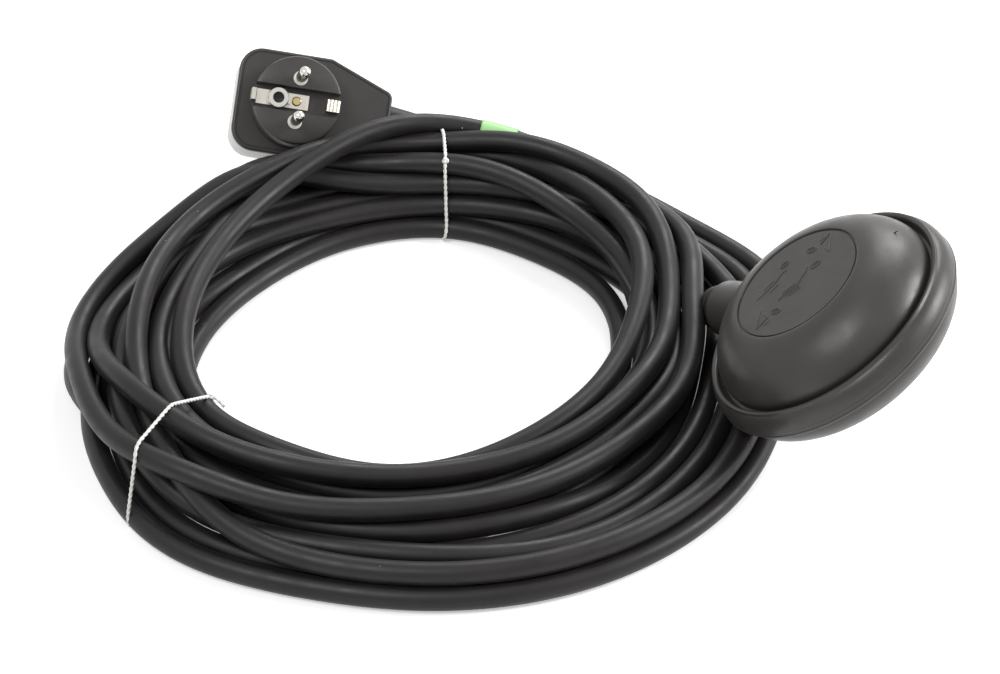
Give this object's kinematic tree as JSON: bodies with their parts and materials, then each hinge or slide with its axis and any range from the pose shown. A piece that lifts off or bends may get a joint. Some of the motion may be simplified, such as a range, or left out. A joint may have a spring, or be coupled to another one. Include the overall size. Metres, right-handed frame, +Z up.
{
  "type": "cable float switch",
  "caption": "Lens-shaped black float with a rolling-ball switch inside, on a loosely coiled rubber cable that ends in a mains plug with a socket in its back.",
  "frame": {"origin": "the middle of the coil, on the surface that it lies on", "axes": "+Z up from that surface, +X towards the float, +Y towards the plug"},
  "size_m": [0.3479, 0.3189, 0.0946],
  "materials": {
    "shell_black": "fine moulded texture",
    "rubber_black": "matte rubber jacket",
    "seal_rubber": "matte",
    "gasket_rubber": "matte",
    "pale_grey": "satin",
    "case_ivory": "satin",
    "track_white": "satin",
    "switch_brown": "matte",
    "plunger_red": "gloss",
    "steel": "bright",
    "brass": "satin",
    "nickel": "nickel plated",
    "core_brown": "satin",
    "core_blue": "satin",
    "core_earth": "satin, green and yellow",
    "string_white": "twisted string",
    "tag_green": "printed sleeve"
  },
  "bodies": {
    "switch_on_cable": {"float_shell_top": "shell_black", "float_shell_bottom": "shell_black", "cable_boot": "rubber_black", "cable_seal": "seal_rubber", "gland_ring": "pale_grey", "cable_tail": "rubber_black", "case_base": "case_ivory", "case_lid": "case_ivory", "case_gasket": "gasket_rubber", "case_screw_1": "steel", "case_screw_2": "steel", "case_screw_3": "steel", "case_screw_4": "steel", "ball_track": "track_white", "microswitch_case": "switch_brown", "microswitch_cover": "switch_brown", "lever_pin": "steel", "contact_blade": "brass", "terminal_common": "brass", "terminal_closed": "brass", "terminal_open": "brass", "receptacle_common": "nickel", "receptacle_open": "nickel", "core_brown": "core_brown", "core_blue": "core_blue", "core_earth": "core_earth", "core_end_cap": "case_ivory", "plug_front": "shell_black", "plug_back": "pale_grey", "plug_pin_1": "nickel", "plug_pin_2": "nickel", "earth_strap": "nickel", "earth_sleeve": "nickel", "earth_rivet": "brass", "earth_clip_left": "nickel", "earth_clip_right": "nickel", "socket_sleeve_1": "brass", "socket_sleeve_2": "brass", "socket_earth_1": "nickel", "socket_earth_2": "nickel", "cord_grip": "pale_grey", "plug_boot": "rubber_black", "plug_cable_end": "rubber_black", "plug_core_brown": "core_brown", "plug_core_blue": "core_blue", "plug_core_earth": "core_earth", "cable_coil": "rubber_black", "cable_float_lead": "rubber_black", "cable_plug_lead": "rubber_black", "cable_top_loop": "rubber_black", "tie_front": "string_white", "tie_back": "string_white", "length_tag": "tag_green"},
    "ball": {"switch_ball": "steel"},
    "lever": {"switch_lever": "steel"},
    "plunger": {"switch_plunger": "plunger_red"}
  },
  "joints": [
    {"name": "ball_roll", "type": "slide", "parent": "switch_on_cable", "child": "ball", "axis": [0.5357, -0.729, 0.4262], "range_m": [0, 0.025]},
    {"name": "lever_turn", "type": "hinge", "parent": "switch_on_cable", "child": "lever", "pos_m": [0.14549, -0.04571, 0.04509], "axis": [0.6057, -0.0201, -0.7955], "range_deg": [0, 7]},
    {"name": "plunger_slide", "type": "slide", "parent": "switch_on_cable", "child": "plunger", "axis": [0.5357, -0.729, 0.4262], "range_m": [0, 0.0014]}
  ],
  "couplings": [
    {"joint": "lever_turn", "follows": "ball_roll", "rad_per_m": 4.88},
    {"joint": "plunger_slide", "follows": "ball_roll", "ratio": 0.056}
  ]
}
